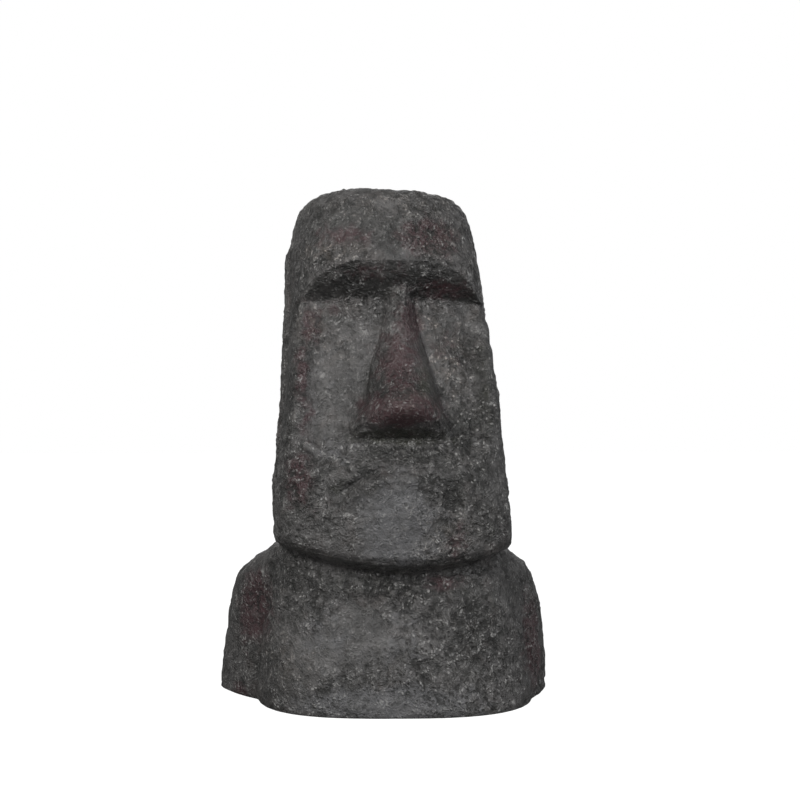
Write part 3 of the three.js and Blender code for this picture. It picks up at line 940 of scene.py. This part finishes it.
class MoaiColourSettings(PropertyGroup):
    body_dark: shade("Dark body", "Darker charcoal of the casting", (0.034, 0.033, 0.032))
    body_light: shade("Light body", "Lighter charcoal of the casting", (0.072, 0.069, 0.068))
    body_warm: shade("Warm body", "Brownish charcoal between the two", (0.056, 0.048, 0.045))
    # Near-black of the crevices: dark wash and painted shade.
    pit_wash_and_shade: shade("Crevice colour", "Dark wash left in the crevices", (0.008, 0.008, 0.007))
    # Pale peaks: wear and painted highlight.
    worn_pale_and_highlight: shade("Worn peaks", "Pale rubbed peaks of the grain", (0.120, 0.117, 0.112))
    # Pale grey flecks: dry brush and painted glints.
    grey_brush_and_glints: shade("Grey brush", "Pale grey dry brush on the grain", (0.310, 0.306, 0.298))
    tan_brush: shade("Tan brush", "Beige dry brush on the high grain", (0.300, 0.255, 0.225))
    # Near-black colour of the dark wash and of the painted shade under the brow, nose and chin.
    dark_wash_and_painted_shade: shade("Dark wash", "Near-black wash round the features", (0.012, 0.012, 0.011))
    red_wash: shade("Red wash", "Maroon wash on the nose, flanks and arms", (0.036, 0.0135, 0.016))
    cool_wash: shade("Cool wash", "Cool grey wash on the smooth places", (0.092, 0.092, 0.096))
    # Olive colour of the greenish wash and of the painted shade under the nose and chin.
    olive_wash_and_painted_shade: shade("Olive wash", "Greenish dark wash in the hollows", (0.022, 0.023, 0.015))


class MoaiStageSettings(PropertyGroup):
    floor_half: FloatProperty(
        name="Floor half size", description="Half the side of the floor", default=6.0,
        unit="LENGTH", min=1,
    )
    camera_distance: FloatProperty(
        name="Camera distance", description="From the bust's middle line to the camera",
        default=1.346, unit="LENGTH", min=0.3,
    )
    camera_height: FloatProperty(
        name="Camera height", description="Height of the level camera", default=0.353,
        unit="LENGTH",
    )
    camera_side: FloatProperty(
        name="Camera side step", description="How far right of the middle line it looks",
        default=0.017, unit="LENGTH",
    )
    camera_turn: FloatProperty(
        name="Camera turn", description="How far round to the left the camera stands",
        default=math.radians(1.0), unit="ROTATION",
    )
    lens: FloatProperty(
        name="Lens", description="Focal length, mm, on a 36 mm frame", default=50.0, min=10
    )
    sky_strength: FloatProperty(
        name="Surround", description="Strength of the white surround", default=0.36, min=0
    )
    key_power: FloatProperty(
        name="Key light", description="Power of the soft light, upper left", default=42.0,
        min=0, unit="POWER",
    )
    top_power: FloatProperty(
        name="Top light", description="Power of the soft light overhead", default=1.0,
        min=0, unit="POWER",
    )
    back_power: FloatProperty(
        name="Back light", description="Power of the soft light behind the bust", default=9.0,
        min=0, unit="POWER",
    )
    fill_power: FloatProperty(
        name="Fill light", description="Power of the soft light on the right", default=25.0,
        min=0, unit="POWER",
    )


# ---------------------------------------------------------------------------
# Operators
# ---------------------------------------------------------------------------


class MOAI_OT_bust(Operator):
    """Build the bust's stippled skin over its solid"""

    bl_idname = "moai.build_bust"
    bl_label = "Build bust"

    def execute(self, context):
        if BUST_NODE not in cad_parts:
            raise RuntimeError("the packed model has no node called " + BUST_NODE)
        mesh = bust_mesh(context.scene.moai_skin)
        mesh.materials.append(stone_material(context.scene.moai_colours))
        bust = bpy.data.objects.new("bust_skin", mesh)
        context.scene.collection.objects.link(bust)
        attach(bust, BUST_BODY)
        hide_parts(BUST_NODE)
        return {"FINISHED"}


def soft_light(scene, name, place, towards, size, power, colour):
    data = bpy.data.lights.new(name, "AREA")
    data.shape = "SQUARE"
    data.size = size
    data.energy = power
    data.color = colour
    lamp = bpy.data.objects.new(name, data)
    lamp.location = place
    aim = [t - p for t, p in zip(towards, place)]
    length = math.dist(towards, place)
    pitch = math.acos(-aim[2] / length)
    lamp.rotation_euler = (pitch, 0, math.atan2(-aim[0], aim[1]))
    scene.collection.objects.link(lamp)
    return lamp


def floor_material():
    material = bpy.data.materials.new("pale_floor")
    material.use_nodes = True
    board = Board(material.node_tree)
    shader = material.node_tree.nodes["Principled BSDF"]
    cloud = board.noise(board.add("ShaderNodeTexCoord").outputs["Object"], 1.5, 2.0)
    board.feed(shader, "Base Color", board.tint(cloud, (0.86, 0.86, 0.86, 1), (0.9, 0.9, 0.9, 1)))
    shader.inputs["Roughness"].default_value = 0.9
    shader.inputs["Specular IOR Level"].default_value = 0.1
    seen = board.add("ShaderNodeLightPath").outputs["Is Camera Ray"]
    glow = board.add("ShaderNodeEmission", {"Color": (1, 1, 1, 1), "Strength": 1.2})
    dim = board.add("ShaderNodeBsdfDiffuse", {"Color": (0.22, 0.22, 0.22, 1)})
    bright = board.add("ShaderNodeMixShader", {0: 0.8, 1: shader.outputs[0], 2: glow.outputs[0]})
    choice = board.add("ShaderNodeMixShader", {0: seen, 1: dim.outputs[0], 2: bright.outputs[0]})
    output = material.node_tree.nodes["Material Output"]
    board.feed(output, "Surface", choice.outputs[0])
    output.location = (board.across, 0)
    return material


class MOAI_OT_stage(Operator):
    """Set out the pale floor, the soft lights and the camera"""

    bl_idname = "moai.build_stage"
    bl_label = "Build stage"

    def execute(self, context):
        scene = context.scene
        stage = scene.moai_stage
        half = stage.floor_half
        ground = CAD_BOX[0][2]
        mesh = bpy.data.meshes.new("floor")
        corners = [
            (-half, -half, ground), (half, -half, ground),
            (half, half, ground), (-half, half, ground),
        ]
        mesh.from_pydata(corners, [], [(0, 1, 2, 3)])
        mesh.materials.append(floor_material())
        floor = bpy.data.objects.new("floor", mesh)
        scene.collection.objects.link(floor)

        world = bpy.data.worlds.new("white_studio")
        world.use_nodes = True
        board = Board(world.node_tree)
        back = world.node_tree.nodes["Background"]
        way = board.add("ShaderNodeTexCoord").outputs["Generated"]
        up = board.add("ShaderNodeSeparateXYZ", {0: way}).outputs["Z"]
        share = board.between(up, -0.25, 0.85, 0.45, 1.15)
        light = board.maths("MULTIPLY", share, stage.sky_strength)
        seen = board.add("ShaderNodeLightPath").outputs["Is Camera Ray"]
        strength = board.add("ShaderNodeMix", {0: seen, 2: light, 3: 1.0}, data_type="FLOAT")
        board.feed(back, "Strength", strength.outputs[0])
        back.inputs["Color"].default_value = (1, 1, 1, 1)
        scene.world = world
        scene.view_settings.view_transform = "Standard"
        scene.view_settings.look = "None"

        for name, (place, size, colour), power in (
            ("key_left", KEY_LIGHT, stage.key_power),
            ("fill_right", FILL_LIGHT, stage.fill_power),
            ("back_soft", BACK_LIGHT, stage.back_power),
            ("top_soft", TOP_LIGHT, stage.top_power),
        ):
            soft_light(scene, name, place, LIGHT_AIM, size, power, colour)

        low, high = CAD_BOX
        line_x = (low[0] + high[0]) / 2 + MIDDLE_LINE_RIGHT
        line_y = (low[1] + high[1]) / 2 + MIDDLE_LINE_BACK
        turn = stage.camera_turn
        data = bpy.data.cameras.new("front_camera")
        data.lens = stage.lens
        data.sensor_width = 36.0
        data.clip_end = 50
        camera = bpy.data.objects.new("front_camera", data)
        away, step = stage.camera_distance, stage.camera_side
        camera.location = (
            line_x - math.sin(turn) * away + math.cos(turn) * step,
            line_y - math.cos(turn) * away - math.sin(turn) * step,
            ground + stage.camera_height,
        )
        camera.rotation_euler = (math.radians(90), 0, -turn)
        scene.collection.objects.link(camera)
        scene.camera = camera
        return {"FINISHED"}


class MOAI_PT_panel(Panel):
    """Sizes, colours and studio of the moai bust"""

    bl_idname = "MOAI_PT_panel"
    bl_label = "Moai bust"
    bl_space_type = "VIEW_3D"
    bl_region_type = "UI"
    bl_category = "Moai"

    def draw(self, context):
        layout = self.layout
        for title, group, operator in (
            ("Skin", context.scene.moai_skin, MOAI_OT_bust.bl_idname),
            ("Colours", context.scene.moai_colours, None),
            ("Stage", context.scene.moai_stage, MOAI_OT_stage.bl_idname),
        ):
            box = layout.box()
            box.label(text=title)
            for name in group.__annotations__:
                box.prop(group, name)
            if operator:
                box.operator(operator)


CLASSES = (
    MoaiSkinSettings,
    MoaiColourSettings,
    MoaiStageSettings,
    MOAI_OT_bust,
    MOAI_OT_stage,
    MOAI_PT_panel,
)


def register():
    for cls in CLASSES:
        bpy.utils.register_class(cls)
    bpy.types.Scene.moai_skin = PointerProperty(type=MoaiSkinSettings)
    bpy.types.Scene.moai_colours = PointerProperty(type=MoaiColourSettings)
    bpy.types.Scene.moai_stage = PointerProperty(type=MoaiStageSettings)


def unregister():
    del bpy.types.Scene.moai_stage
    del bpy.types.Scene.moai_colours
    del bpy.types.Scene.moai_skin
    for cls in reversed(CLASSES):
        bpy.utils.unregister_class(cls)


def main():
    register()
    bpy.ops.moai.build_bust()
    bpy.ops.moai.build_stage()


if __name__ == "__main__":
    main()
